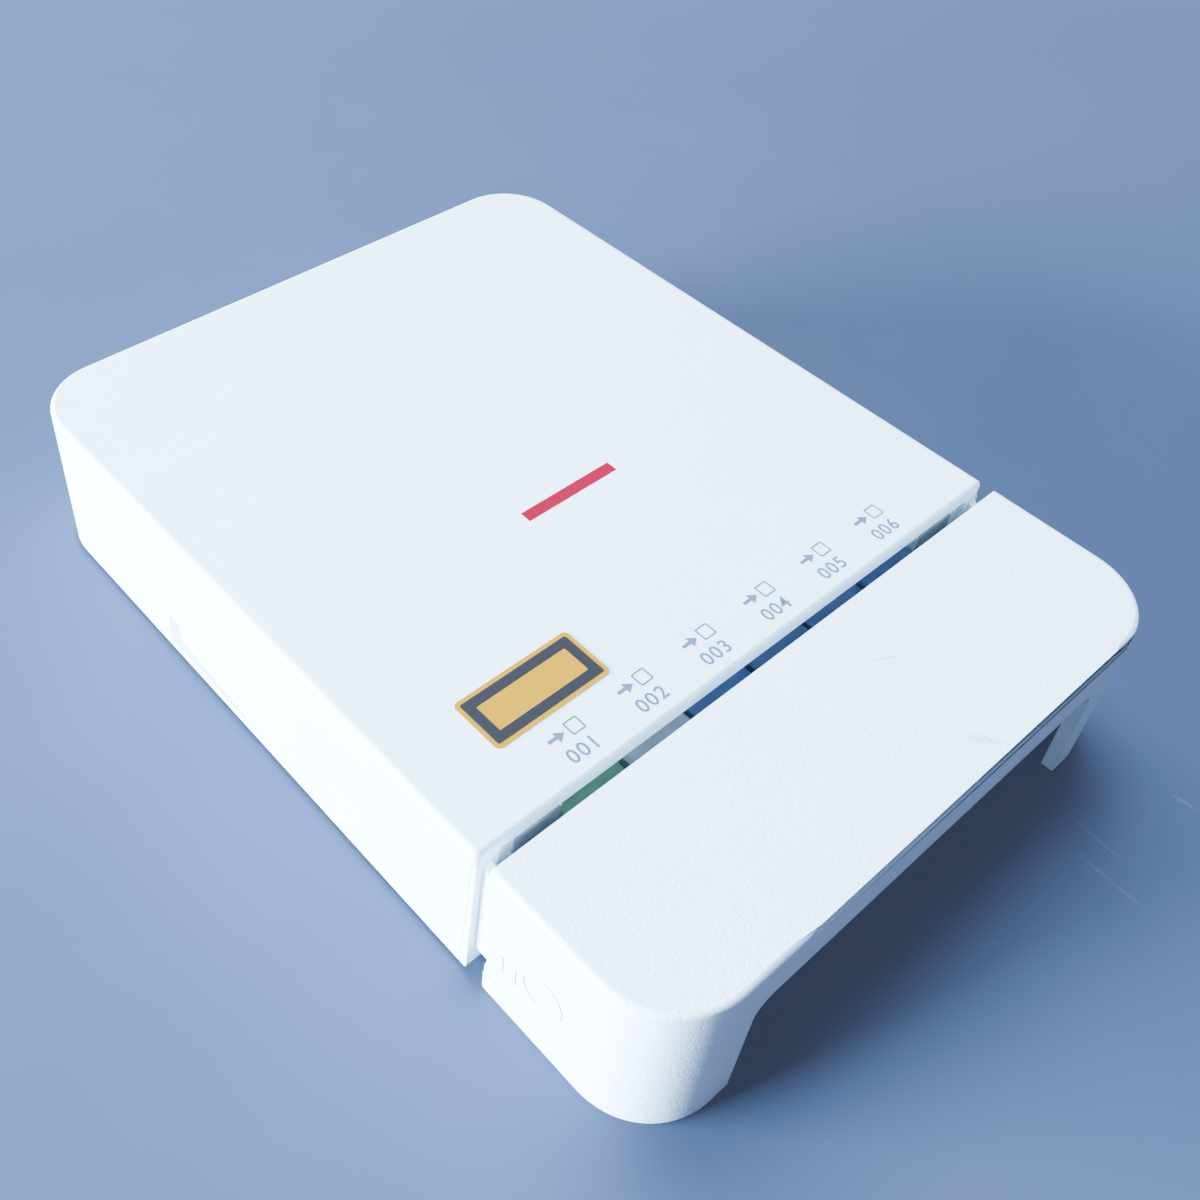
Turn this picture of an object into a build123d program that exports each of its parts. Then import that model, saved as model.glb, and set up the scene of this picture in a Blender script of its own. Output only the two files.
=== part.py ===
from build123d import *
from math import radians, tan
import os

# Fiber termination box: a flat white housing with a pull-off hood over six optical ports.
# Origin: middle of the underside. +Z is up, +Y points to the back, the hood is at -Y.
# All sizes are millimetres.

# Overall size
box_width = 115.0
box_height = 31.5
body_length = 121.5
hood_length = 33.1
hood_gap = 2.6
cover_bottom = 0.8

# Walls and seams
wall = 2.2
top_wall = 2.2
floor_thickness = 2.2
seam = 0.15
slide_clearance = 0.3
side_clearance = 0.2
over = 1.0

# Corners and edges
body_corner_radius = 11.6
hood_corner_radius = 13.1
edge_radius = 0.9
front_edge_radius = 0.8
corner_ease = 0.3

# Front of the body: open front of the cover, and the drafted frame of the tray round the window
lip_thickness = 1.5
window_corner_radius = 1.0
pier_width = 4.0
frame_top_depth = 0.8
frame_foot_depth = 2.2
frame_draft = 0.9
foot_ease = 0.5
jamb_width = 2.9
jamb_setback = 0.6
jamb_depth = 3.0
jamb_drop = 0.6

# Ports: a row of adapters that fills the width, from the left: input, cascade, outputs
row_end_room = 14.0
adapter_gap = 0.95
adapter_width = 12.9
adapter_height = 9.3
adapter_length = 27.4
adapter_headroom = 4.5
adapter_setback = 7.0
adapter_fit = 0.1
ridge_height = 1.1
ridge_depth = 1.2
socket_width = 9.1
socket_height = 7.5
key_width = 3.9
key_depth = 0.5

# Latch frame, sleeve and ferrule inside each adapter
latch_plate = 1.6
latch_arm_length = 6.4
latch_arm_thickness = 0.9
latch_arm_height = 3.0
latch_barb = 0.5
latch_fit = 0.05
flex_room = 0.25
sleeve_radius = 1.6
sleeve_length = 11.4
sleeve_slit = 0.5
tube_wall = 0.55
ferrule_radius = 1.25
ferrule_length = 10.0
ferrule_fit = 0.02

# Inner plugs and their boots
plug_fit = 0.05
plug_start = 7.0
plug_length = 20.0
plug_tail = 2.0
plug_waist_depth = 0.5
plug_waist_length = 6.0
boot_length = 12.0
boot_collar = 2.4
boot_root_radius = 2.6
boot_tip_radius = 1.1
fibre_radius = 0.45
bore_clearance = 0.1

# Bulkhead that carries the adapters, panels beside their row, and the rest under their back ends
bulkhead_thickness = 2.0
bulkhead_headroom = 2.3
row_panel_thickness = 1.5
row_panel_setback = 0.6
row_panel_headroom = 0.5
rest_thickness = 1.5
rest_inset = 2.0

# Hood
hood_lip_height = 9.0
arch_inset = 17.3
arch_draft = 0.8
arch_radius = 3.5
foot_radius = 0.8
rear_draft = 0.7
heel_top = 8.8
heel_blend = 2.2
heel_reach = 0.5
heel_radius = 1.5
rail_height = 1.5
rail_reach = 1.4

# Sharp parting line along the front edge of the hood, which fades out at the left corner
parting_height = 1.3
parting_depth = 0.2
parting_inset = 19.5
parting_taper = 8.0
parting_end = 3.0

# Tongues that the hood slides on
tongue_length = 16.0
tongue_thickness = 1.5
tongue_inset = 1.3
tongue_bottom = 5.9
tongue_drop = 5.1
tongue_lead = 2.0

# Grip panel and marks on the sides of the hood
grip_length = 18.0
grip_bottom = 5.0
grip_drop = 8.0
grip_depth = 0.2
grip_radius = 3.0
mark_bar_width = 0.8
mark_bar_height = 4.0
mark_bar_places = (3.4, 6.0)
mark_bar_level = 12.0
mark_ring_place = 11.2
mark_ring_level = 14.5
mark_ring_radius = 4.2
mark_ring_width = 0.9

# Pry ramps on the sides of the cover
ramp_start = 48.0
ramp_length = 31.7
ramp_bottom = 2.6
ramp_height = 6.6
ramp_depth = 1.1
ramp_end_run = 1.2

# Cover screws and their bosses
screw_inset = 9.2
screw_front = 16.5
screw_back = 10.6
screw_radius = 1.3
screw_length = 11.0
screw_tip_room = 0.9
screw_head_radius = 2.5
screw_head_height = 1.7
screw_recess_radius = 2.9
screw_recess_depth = 2.3
driver_width = 0.8
driver_depth = 0.9
boss_radius = 3.2
pad_radius = 4.4
pad_height = 2.0
thread_clearance = 0.05

# Wall fixing
wall_hole_inset = 10.5
wall_hole_radius = 2.25
wall_hole_place = 36.0
wall_pad_radius = 4.6
wall_pad_height = 1.2

# Locating rim on the tray
rim_thickness = 1.2
rim_height = 4.8

# Splitter module and its two saddles
splitter_end_room = 32.5
splitter_width = 7.0
splitter_height = 4.0
splitter_offset = 5.0
splitter_from_back = 12.6
saddle_seat = 0.8
saddle_length = 5.0
saddle_arm = 1.2
saddle_hook = 0.4
saddle_share = 0.3

# Pigtail fibres between the plugs and the splitter
fibre_spacing = 1.2
lane_inset = 13.5
back_bend_radius = 12.0
arc_share = 0.45

# Shares of the free run behind the boots that the fan of fibres takes
fan_front_share = 0.12
fan_step_share = 0.08
fan_run_share = 0.28
input_front_share = 0.16
input_run_share = 0.47

# Guides that keep the fibres down and round the back corners
guide_wall = 1.2
guide_height = 5.4
clip_room = 0.4
clip_length = 3.0
clip_roof = 1.0
clip_from_splitter = 15.0

# Red strip and bare label on the cover
strip_length = 20.0
strip_width = 2.3
strip_depth = 0.2
strip_clearance = 0.03
strip_from_front = 42.9
label_length = 22.4
label_width = 10.2
label_thickness = 0.1
label_radius = 1.0
label_inset = 24.6
label_from_front = 16.0

# Levels and places worked out from the sizes above
half_width = box_width / 2
total_length = body_length + hood_gap + hood_length
back_y = total_length / 2
front_y = back_y - body_length
hood_back_y = front_y - hood_gap
hood_front_y = -back_y
ceiling = box_height - top_wall
pier_top = ceiling - window_corner_radius
window_half = half_width - pier_width
frame_middle_top = front_y + frame_top_depth / 2
frame_middle_foot = front_y + (frame_draft + frame_foot_depth) / 2
hood_lip_bottom = box_height - hood_lip_height
arch_half_width = half_width - arch_inset
grip_top = box_height - grip_drop
adapter_top = ceiling - adapter_headroom
bulkhead_top = ceiling - bulkhead_headroom
adapter_middle_y = front_y + adapter_setback
adapter_z = adapter_top - adapter_height / 2
adapter_bottom = adapter_top - adapter_height
adapter_back_y = adapter_middle_y + adapter_length / 2
bulkhead_back_y = adapter_middle_y + bulkhead_thickness / 2
plug_back_y = adapter_middle_y + plug_start + plug_length
boot_back_y = plug_back_y + boot_length
port_pitch = adapter_width + adapter_gap
port_count = int((box_width - 2 * row_end_room) / port_pitch)
port_names = ["input", "cascade"] + [f"output_{i + 1}" for i in range(port_count - 2)]
port_places = [(i - (port_count - 1) / 2) * port_pitch for i in range(port_count)]
tongue_outer = half_width - tongue_inset
tongue_inner = tongue_outer - tongue_thickness
tongue_top = box_height - tongue_drop
tray_inset = wall + seam
cheek_outer = half_width - tray_inset
splitter_length = box_width - 2 * splitter_end_room
splitter_x = -splitter_offset
splitter_y = back_y - splitter_from_back
splitter_z = floor_thickness + saddle_seat + splitter_height / 2
lane_x = half_width - lane_inset
lane_run = splitter_y - back_bend_radius - boot_back_y
screw_x = half_width - screw_inset
screw_rows = (front_y + screw_front, back_y - screw_back)
screw_places = [(side * screw_x, y) for side in (-1, 1) for y in screw_rows]
screw_tip = screw_recess_depth + screw_length
wall_hole_x = half_width - wall_hole_inset
wall_hole_y = front_y + wall_hole_place
label_x = label_inset - half_width


def span(x_range, y_range, z_range):
    """Box from its low and high values along each axis."""
    lows = [min(pair) for pair in (x_range, y_range, z_range)]
    highs = [max(pair) for pair in (x_range, y_range, z_range)]
    size = [high - low for low, high in zip(lows, highs)]
    return Pos(*lows) * Box(*size, align=(Align.MIN, Align.MIN, Align.MIN))


def column(x, y, z_low, z_high, radius):
    """Upright cylinder between two levels."""
    align = (Align.CENTER, Align.CENTER, Align.MIN)
    return Pos(x, y, z_low) * Cylinder(radius, z_high - z_low, align=align)


def lengthwise(x, y_low, y_high, z, radius):
    """Cylinder along Y between two places."""
    align = (Align.CENTER, Align.CENTER, Align.MIN)
    return Pos(x, y_low, z) * Rot(-90, 0, 0) * Cylinder(radius, y_high - y_low, align=align)


def plan(inset, y_low, y_high, low_radius, high_radius):
    """Plan outline of the box, narrowed by an inset, with a corner radius at each end."""
    width = box_width - 2 * inset
    outline = Pos(0, (y_low + y_high) / 2) * Rectangle(width, y_high - y_low)
    if high_radius:
        outline = fillet(outline.vertices().group_by(Axis.Y)[-1], high_radius)
    if low_radius:
        outline = fillet(outline.vertices().group_by(Axis.Y)[0], low_radius)
    return outline


def body_plan(inset, y_low):
    """Plan of the body, inset at its sides and back, from a given place in front."""
    return plan(inset, y_low, back_y - inset, 0, body_corner_radius - inset)


def risen(outline, z_low, z_high):
    """Outline raised between two levels."""
    return extrude(Pos(0, 0, z_low) * outline, z_high - z_low)


def mirrored(piece):
    """Piece and its mirror image on the other side."""
    return piece + mirror(piece, Plane.YZ)


def side_profile(face, x, thickness):
    """Profile drawn in Y and Z, placed at x and given a thickness towards +X."""
    side_plane = Plane(origin=(x, 0, 0), x_dir=(0, 1, 0), z_dir=(1, 0, 0))
    return extrude(side_plane * face, thickness)


def edge_cutter(y, z, y_way, z_way, radius):
    """Cutter that rounds an edge along X at (y, z), with the solid lying the given ways from it."""
    corner = Pos(y + y_way * radius / 2, z + z_way * radius / 2) * Rectangle(radius, radius)
    corner -= Pos(y + y_way * radius, z + z_way * radius) * Circle(radius)
    return side_profile(corner, -half_width - over, box_width + 2 * over)


def cover_shell():
    """Outer block of the cover with its softened top, before it is hollowed."""
    block = risen(body_plan(0, front_y), cover_bottom, box_height)
    front_edge = block.edges().filter_by(Axis.X).group_by(Axis.Z)[-1].sort_by(Axis.Y)[0]
    block = fillet(front_edge, front_edge_radius)
    top_face = block.faces().sort_by(Axis.Z)[-1]
    front_edge_y = front_y + front_edge_radius
    side_edges = [
        edge for edge in top_face.edges() if edge.center().Y > front_edge_y + edge_radius / 2
    ]
    return fillet(side_edges, edge_radius)


def pry_ramp(side):
    """Cutter for the ramp-shaped recess in one side of the cover."""
    x_out = side * half_width
    y_start = front_y + ramp_start
    y_end = y_start + ramp_length
    outline = Polyline(
        (x_out, y_start),
        (x_out, y_end),
        (x_out - side * ramp_depth, y_end - ramp_end_run),
        close=True,
    )
    return risen(make_face(outline), ramp_bottom, ramp_bottom + ramp_height)


def top_cover():
    """Cover: a shell over the tray, open at the front, with four screw bosses."""
    cover = cover_shell()
    cavity_front = front_y + lip_thickness
    cover -= risen(body_plan(wall, cavity_front), 0, ceiling)
    frame_seat = Polyline(
        (front_y - over, 0),
        (front_y - over, pier_top + seam),
        (front_y + frame_top_depth + seam, pier_top + seam),
        (front_y + frame_foot_depth + seam, cover_bottom),
        (front_y + frame_foot_depth + seam, 0),
        close=True,
    )
    cover -= side_profile(make_face(frame_seat), -half_width - over, box_width + 2 * over)
    open_front = (front_y - over, cavity_front + seam)
    cover -= span((wall - half_width, half_width - wall), open_front, (0, pier_top + seam))
    window = Rectangle(2 * window_half, 2 * ceiling)
    window = fillet(window.vertices().group_by(Axis.Y)[-1], window_corner_radius)
    window_plane = Plane(origin=(0, cavity_front + seam, 0), x_dir=(1, 0, 0), z_dir=(0, -1, 0))
    cover -= extrude(window_plane * window, lip_thickness + seam + over)

    boss_bottom = floor_thickness + pad_height + seam
    for x, y in screw_places:
        boss = column(x, y, boss_bottom, ceiling + seam, boss_radius)
        pilot_radius = screw_radius + thread_clearance
        pilot = column(x, y, boss_bottom, screw_tip + screw_tip_room, pilot_radius)
        cover = cover + boss - pilot

    hold_half = port_places[-1] + adapter_width / 2
    bulkhead_y = (adapter_middle_y - bulkhead_thickness / 2, bulkhead_back_y)
    cover += span((-hold_half, hold_half), bulkhead_y, (adapter_top + seam, ceiling + seam))

    for side in (-1, 1):
        cover -= pry_ramp(side)
    strip_y = front_y + strip_from_front
    strip_half = strip_length / 2 + strip_clearance
    strip_side = strip_width / 2 + strip_clearance
    pocket_y = (strip_y - strip_side, strip_y + strip_side)
    cover -= span((-strip_half, strip_half), pocket_y, (box_height - strip_depth, box_height + over))
    return cover


def cheek():
    """Right cheek wall of the tray, from its front frame back to the bulkhead."""
    low = floor_thickness - seam
    outline = Polyline(
        (bulkhead_back_y, low),
        (bulkhead_back_y, bulkhead_top),
        (frame_middle_top, bulkhead_top),
        (frame_middle_foot, low),
        close=True,
    )
    return side_profile(make_face(outline), window_half, cheek_outer - window_half)


def tongue():
    """Right tongue that the hood slides on, with the sloped shoulder that stops it."""
    tip = front_y - tongue_length
    outline = Polyline(
        (frame_middle_top, pier_top),
        (front_y, pier_top),
        (hood_back_y + slide_clearance, tongue_top),
        (tip + tongue_lead, tongue_top),
        (tip, tongue_top - tongue_lead),
        (tip, tongue_bottom + tongue_lead),
        (tip + tongue_lead, tongue_bottom),
        (frame_middle_foot, tongue_bottom),
        close=True,
    )
    return side_profile(make_face(outline), tongue_inner, tongue_thickness)


def front_frame():
    """Sill and two piers that close the front of the body, leaning back towards their foot."""
    outline = Polyline(
        (front_y, pier_top),
        (front_y + frame_top_depth, pier_top),
        (front_y + frame_foot_depth, cover_bottom),
        (front_y + frame_draft, cover_bottom),
        close=True,
    )
    outline = make_face(outline)
    outline = fillet(outline.vertices().group_by(Axis.Y)[0].sort_by(Axis.X)[0], foot_ease)
    frame = side_profile(outline, -half_width, box_width)
    front_face = frame.faces().sort_by(Axis.Y)[0]
    side_edges = front_face.edges().group_by(Axis.X)
    frame = fillet(side_edges[0] + side_edges[-1], corner_ease)
    window = (front_y - over, front_y + frame_foot_depth + over)
    return frame - span((-window_half, window_half), window, (floor_thickness, box_height))


def jamb():
    """Right jamb: a post set back behind the frame at the side of the window."""
    top = pier_top - jamb_drop
    back = front_y + jamb_setback + jamb_depth
    outline = Polyline(
        (front_y + jamb_setback, top),
        (back, top),
        (back, floor_thickness - seam),
        (frame_middle_foot, floor_thickness - seam),
        close=True,
    )
    return side_profile(make_face(outline), window_half - jamb_width, jamb_width + seam)


def row_panel():
    """Right panel that closes the front between the adapter row and the jamb."""
    face = front_y + row_panel_setback
    x_range = (port_places[-1] + adapter_width / 2 + adapter_fit, window_half - jamb_width + seam)
    levels = (floor_thickness - seam, ceiling - row_panel_headroom)
    return span(x_range, (face, face + row_panel_thickness), levels)


def bulkhead():
    """Wall across the tray with a notch for each adapter, and the rest under their ends."""
    low = floor_thickness - seam
    depth = (adapter_middle_y - bulkhead_thickness / 2, bulkhead_back_y)
    panel = span((-window_half - seam, window_half + seam), depth, (low, bulkhead_top))
    row_half = port_places[-1] + port_pitch / 2
    through = (depth[0] - over, depth[1] + over)
    panel -= span((-row_half, row_half), through, (adapter_top, box_height))
    rest_y = (adapter_back_y - rest_inset - rest_thickness, adapter_back_y - rest_inset)
    panel += span((-row_half, row_half), rest_y, (low, adapter_bottom))
    notch_half = adapter_width / 2 + adapter_fit
    for x in port_places:
        panel -= span((x - notch_half, x + notch_half), through, (adapter_bottom, box_height))
    return panel


def splitter_saddle(x):
    """Snap saddle that holds the splitter on the tray floor."""
    room = splitter_width / 2 + adapter_fit
    top = splitter_z + splitter_height / 2
    x_range = (x - saddle_length / 2, x + saddle_length / 2)
    low = floor_thickness - seam
    seat_y = (splitter_y - room - saddle_arm, splitter_y + room + saddle_arm)
    saddle = span(x_range, seat_y, (low, floor_thickness + saddle_seat))
    for side in (-1, 1):
        inner = splitter_y + side * room
        outer = inner + side * saddle_arm
        hook = inner - side * saddle_hook
        hook_top = top + adapter_fit + saddle_hook
        saddle += span(x_range, (inner, outer), (low, hook_top))
        saddle += span(x_range, (hook, outer), (top + adapter_fit, hook_top + saddle_hook))
    return saddle


def fibre_clip(x_post, x_reach):
    """Open-sided clip over fibres that run along Y beside its post."""
    side = 1 if x_reach > x_post else -1
    y = splitter_y - clip_from_splitter
    y_range = (y - clip_length / 2, y + clip_length / 2)
    roof = splitter_z + fibre_radius + clip_room
    x_back = x_post - side * guide_wall
    post = span((x_back, x_post), y_range, (floor_thickness - seam, roof + clip_roof))
    return post + span((x_back, x_reach), y_range, (roof, roof + clip_roof))


def bend_guide(side, lane, y_end):
    """Quarter-round wall inside the bend of the fibres at one back corner."""
    x = side * (lane - back_bend_radius)
    y = y_end - back_bend_radius
    outer = back_bend_radius - fibre_radius - clip_room
    ring = Circle(outer) - Circle(outer - guide_wall)
    quarter = ring & (Pos(side * outer / 2, outer / 2) * Rectangle(outer, outer))
    return risen(Pos(x, y) * quarter, floor_thickness - seam, floor_thickness + guide_height)


def base_tray():
    """Tray: floor, front frame, cheeks, the hood's tongues, bulkhead and fibre guides."""
    tray = risen(body_plan(tray_inset, frame_middle_foot), 0, floor_thickness)
    tray += front_frame()
    tray += bulkhead()
    for piece in (cheek(), tongue(), jamb(), row_panel()):
        tray += mirrored(piece)

    rim_outer = body_plan(tray_inset, bulkhead_back_y - seam)
    rim_inner = body_plan(tray_inset + rim_thickness, bulkhead_back_y - bulkhead_thickness)
    rim_top = floor_thickness + rim_height
    tray += risen(rim_outer - rim_inner, floor_thickness - seam, rim_top)

    for x, y in screw_places:
        tray += column(x, y, floor_thickness - seam, floor_thickness + pad_height, pad_radius)
        pad_top = floor_thickness + pad_height
        tray -= column(x, y, -over, screw_recess_depth, screw_recess_radius)
        tray -= column(x, y, 0, pad_top + over, screw_radius + 2 * thread_clearance)
        tray -= column(x, y, pad_top, pad_top + rim_height, boss_radius + slide_clearance)

    wall_pad_top = floor_thickness + wall_pad_height
    for x in (-wall_hole_x, wall_hole_x):
        tray += column(x, wall_hole_y, floor_thickness - seam, wall_pad_top, wall_pad_radius)
        tray -= column(x, wall_hole_y, -over, box_height, wall_hole_radius)

    for side in (-1, 1):
        tray += splitter_saddle(splitter_x + side * saddle_share * splitter_length)
    inner_lane = lane_x - (len(port_places) - 2) * fibre_spacing
    room = fibre_radius + clip_room
    tray += fibre_clip(inner_lane - room, lane_x + room)
    tray += fibre_clip(room - lane_x, -lane_x - room)
    tray += bend_guide(1, inner_lane, fibre_end_y(1))
    tray += bend_guide(-1, lane_x, fibre_end_y(0))
    return tray


def hood_plan(inset):
    """Plan of the hood, inset at its sides and front."""
    return plan(inset, hood_front_y + inset, hood_back_y, hood_corner_radius - inset, 0)


def grip_panel(side):
    """Shallow grip panel cut in one side of the hood, with two bars and a ring left standing."""
    middle_level = (grip_bottom + grip_top) / 2
    panel = Rectangle(2 * grip_length, grip_top - grip_bottom)
    panel = Pos(0, middle_level) * fillet(panel.vertices(), grip_radius)
    for place in mark_bar_places:
        panel -= Pos(-place, mark_bar_level) * Rectangle(mark_bar_width, mark_bar_height)
    ring = Circle(mark_ring_radius) - Circle(mark_ring_radius - mark_ring_width)
    panel -= Pos(-mark_ring_place, mark_ring_level) * ring
    depth = side * (half_width - grip_depth)
    return side_profile(Pos(hood_back_y, 0) * panel, depth, side * (grip_depth + over))


def arch_cutter():
    """Cutter for the open arch in the front of the hood, a little wider at its foot."""
    arch = Polyline(
        (-arch_half_width - arch_draft, -over),
        (-arch_half_width, hood_lip_bottom),
        (arch_half_width, hood_lip_bottom),
        (arch_half_width + arch_draft, -over),
        close=True,
    )
    arch = make_face(arch)
    arch = fillet(arch.vertices().group_by(Axis.Y)[-1], arch_radius)
    arch_plane = Plane(origin=(0, hood_front_y + 2 * wall, 0), x_dir=(1, 0, 0), z_dir=(0, -1, 0))
    return extrude(arch_plane * arch, 3 * wall)


def parting_strip(hood):
    """Hood with a sharp front edge over a shallow rebate, which fade out towards the left corner."""
    left = parting_inset - half_width
    right = half_width - hood_corner_radius
    edge_y = hood_front_y + parting_depth
    inner_y = hood_front_y + edge_radius + seam
    edge = Polyline(
        (left, inner_y),
        (left + parting_taper, edge_y),
        (right - parting_end, edge_y),
        (right, inner_y),
        close=True,
    )
    rebate = Polyline(
        (left + parting_taper - parting_end, hood_front_y),
        (left + parting_taper, edge_y),
        (right - parting_end, edge_y),
        (right, hood_front_y),
        close=True,
    )
    rebate = make_face(rebate)
    hood += risen(make_face(edge), box_height - edge_radius - seam, box_height)
    return hood - risen(rebate, box_height - parting_height, box_height + over)


def rear_cutter():
    """Cutter for the open back of the hood: leaning side edges with a heel at their foot."""
    heel_y = hood_back_y - rear_draft + heel_reach
    outline = Polyline(
        (hood_back_y + over, box_height),
        (hood_back_y, box_height),
        (hood_back_y - rear_draft, heel_top),
        (heel_y, heel_top - heel_blend),
        (heel_y, -over),
        (hood_back_y + over, -over),
        close=True,
    )
    cutter = side_profile(make_face(outline), -half_width - over, box_width + 2 * over)
    return cutter + edge_cutter(heel_y, 0, -1, 1, heel_radius)


def port_hood():
    """Hood: top, two side walls and a front lip over an open arch, on rails round the tongues."""
    hood = risen(hood_plan(0), 0, box_height)
    outer_edges = [
        edge
        for edge in hood.faces().sort_by(Axis.Z)[-1].edges()
        if edge.center().Y < hood_back_y - edge_radius
    ]
    hood = fillet(outer_edges, edge_radius)
    hood = parting_strip(hood)
    hood -= risen(hood_plan(wall), -over, ceiling)
    hood -= arch_cutter()
    feet = [edge for face in hood.faces().group_by(Axis.Z)[0] for edge in face.edges()]
    hood = fillet([edge for edge in feet if edge.center().Y < hood_back_y - seam], foot_radius)

    inner_wall = half_width - wall
    tongue_slot = (tongue_bottom - slide_clearance, tongue_top + slide_clearance)
    slot_x = (inner_wall - seam, tongue_outer + side_clearance)
    slot_y = (front_y - tongue_length - slide_clearance, hood_back_y + over)
    hood -= mirrored(span(slot_x, slot_y, tongue_slot))
    rail_x = (inner_wall - rail_reach, inner_wall + seam)
    rail_y = (front_y - tongue_length, hood_back_y)
    for low in (tongue_slot[0] - rail_height, tongue_slot[1]):
        hood += mirrored(span(rail_x, rail_y, (low, low + rail_height)))
    hood -= rear_cutter()
    for side in (-1, 1):
        hood -= grip_panel(side)
    return hood


def adapter(x):
    """Simplex adapter: a through socket with a key slot, and ridges that straddle the bulkhead."""
    ends = (adapter_middle_y - adapter_length / 2, adapter_middle_y + adapter_length / 2)
    x_range = (x - adapter_width / 2, x + adapter_width / 2)
    housing = span(x_range, ends, (adapter_bottom, adapter_top))
    housing = chamfer(housing.edges().filter_by(Axis.Y), edge_radius / 2)
    for side in (-1, 1):
        near = adapter_middle_y + side * (bulkhead_thickness / 2 + adapter_fit)
        ridge_x = (x_range[0] + edge_radius, x_range[1] - edge_radius)
        ridge_z = (adapter_bottom - ridge_height, adapter_top + ridge_height)
        housing += span(ridge_x, (near, near + side * ridge_depth), ridge_z)
    through = (ends[0] - over, ends[1] + over)
    socket_x = (x - socket_width / 2, x + socket_width / 2)
    housing -= span(socket_x, through, (adapter_z - socket_height / 2, adapter_z + socket_height / 2))
    key_x = (x - key_width / 2, x + key_width / 2)
    housing -= span(key_x, through, (adapter_z, adapter_z + socket_height / 2 + key_depth))
    return housing


def latch_frame(x):
    """Latch insert of an adapter: middle plate, sleeve tube and two arms towards each end."""
    half_plate = latch_plate / 2
    plate_y = (adapter_middle_y - half_plate, adapter_middle_y + half_plate)
    half_w = socket_width / 2 - latch_fit
    half_h = socket_height / 2 - latch_fit
    frame = span((x - half_w, x + half_w), plate_y, (adapter_z - half_h, adapter_z + half_h))
    tube_y = (adapter_middle_y - sleeve_length / 2, adapter_middle_y + sleeve_length / 2)
    frame += lengthwise(x, *tube_y, adapter_z, sleeve_radius + latch_fit + tube_wall)
    z_range = (adapter_z - latch_arm_height / 2, adapter_z + latch_arm_height / 2)
    for side in (-1, 1):
        outer = x + side * (socket_width / 2 - flex_room)
        inner = outer - side * latch_arm_thickness
        for way in (-1, 1):
            tip = adapter_middle_y + way * latch_arm_length
            frame += span((inner, outer), (adapter_middle_y, tip), z_range)
            frame += span((inner - side * latch_barb, outer), (tip - way * latch_barb * 2, tip), z_range)
    bore = lengthwise(x, tube_y[0] - over, tube_y[1] + over, adapter_z, sleeve_radius + latch_fit)
    return frame - bore


def sleeve(x):
    """Split alignment sleeve."""
    y_low = adapter_middle_y - sleeve_length / 2
    ring = lengthwise(x, y_low, y_low + sleeve_length, adapter_z, sleeve_radius)
    through = (y_low - over, y_low + sleeve_length + over)
    ring -= lengthwise(x, *through, adapter_z, ferrule_radius + ferrule_fit)
    slit_x = (x - sleeve_slit / 2, x + sleeve_slit / 2)
    return ring - span(slit_x, through, (adapter_z, adapter_z + 2 * sleeve_radius))


def ferrule(x):
    """Ceramic ferrule of an inner plug, butting at the middle of its adapter."""
    y_low = adapter_middle_y + ferrule_fit
    return lengthwise(x, y_low, y_low + ferrule_length, adapter_z, ferrule_radius)


def plug(x):
    """Inner plug: a keyed grip housing with a waist, bored for its ferrule."""
    y_low = adapter_middle_y + plug_start
    half_w = socket_width / 2 - plug_fit
    half_h = socket_height / 2 - plug_fit
    z_range = (adapter_z - half_h, adapter_z + half_h)
    body = span((x - half_w, x + half_w), (y_low, plug_back_y), z_range)
    body = chamfer(body.edges().filter_by(Axis.Y), plug_waist_depth)
    waist_end = plug_back_y - plug_tail
    waist_y = (waist_end - plug_waist_length, waist_end)
    for side in (-1, 1):
        waist_x = (x + side * (half_w - plug_waist_depth), x + side * (half_w + over))
        body -= span(waist_x, waist_y, (z_range[0] - over, z_range[1] + over))
    key_half = key_width / 2 - adapter_fit
    key_top = adapter_z + half_h + key_depth
    key_y = (y_low, y_low + plug_start)
    body += span((x - key_half, x + key_half), key_y, (adapter_z, key_top))
    seat_end = adapter_middle_y + 2 * ferrule_fit + ferrule_length
    return body - lengthwise(x, y_low - over, seat_end, adapter_z, ferrule_radius + ferrule_fit)


def boot(x):
    """Tapered boot behind an inner plug, with a bore for its fibre."""
    profile = Polyline(
        (fibre_radius + bore_clearance, 0),
        (boot_root_radius, 0),
        (boot_root_radius, boot_collar),
        (boot_tip_radius, boot_length),
        (fibre_radius + bore_clearance, boot_length),
        close=True,
    )
    cone = revolve(make_face(profile), Axis.Y)
    return Pos(x, plug_back_y, adapter_z) * cone


def fibre_end_y(index):
    """Place across the splitter's end where one fibre enters it."""
    if index == 0:
        return splitter_y
    return splitter_y + (index - len(port_places) / 2) * fibre_spacing


def fibre_route(index):
    """Corner points of one fibre, from its plug to the splitter."""
    x = port_places[index]
    end_y = fibre_end_y(index)
    if index == 0:
        side = -1
        lane = -lane_x
        turn_y = boot_back_y + input_front_share * lane_run
        run = input_run_share * lane_run
    else:
        side = 1
        rank = len(port_places) - 1 - index
        lane = lane_x - rank * fibre_spacing
        turn_y = boot_back_y + (fan_front_share + rank * fan_step_share) * lane_run
        run = fan_run_share * lane_run
    return [
        (x, plug_back_y, adapter_z),
        (x, turn_y, adapter_z),
        (lane, turn_y + run, splitter_z),
        (lane, end_y, splitter_z),
        (splitter_x + side * splitter_length / 2, end_y, splitter_z),
    ]


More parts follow.
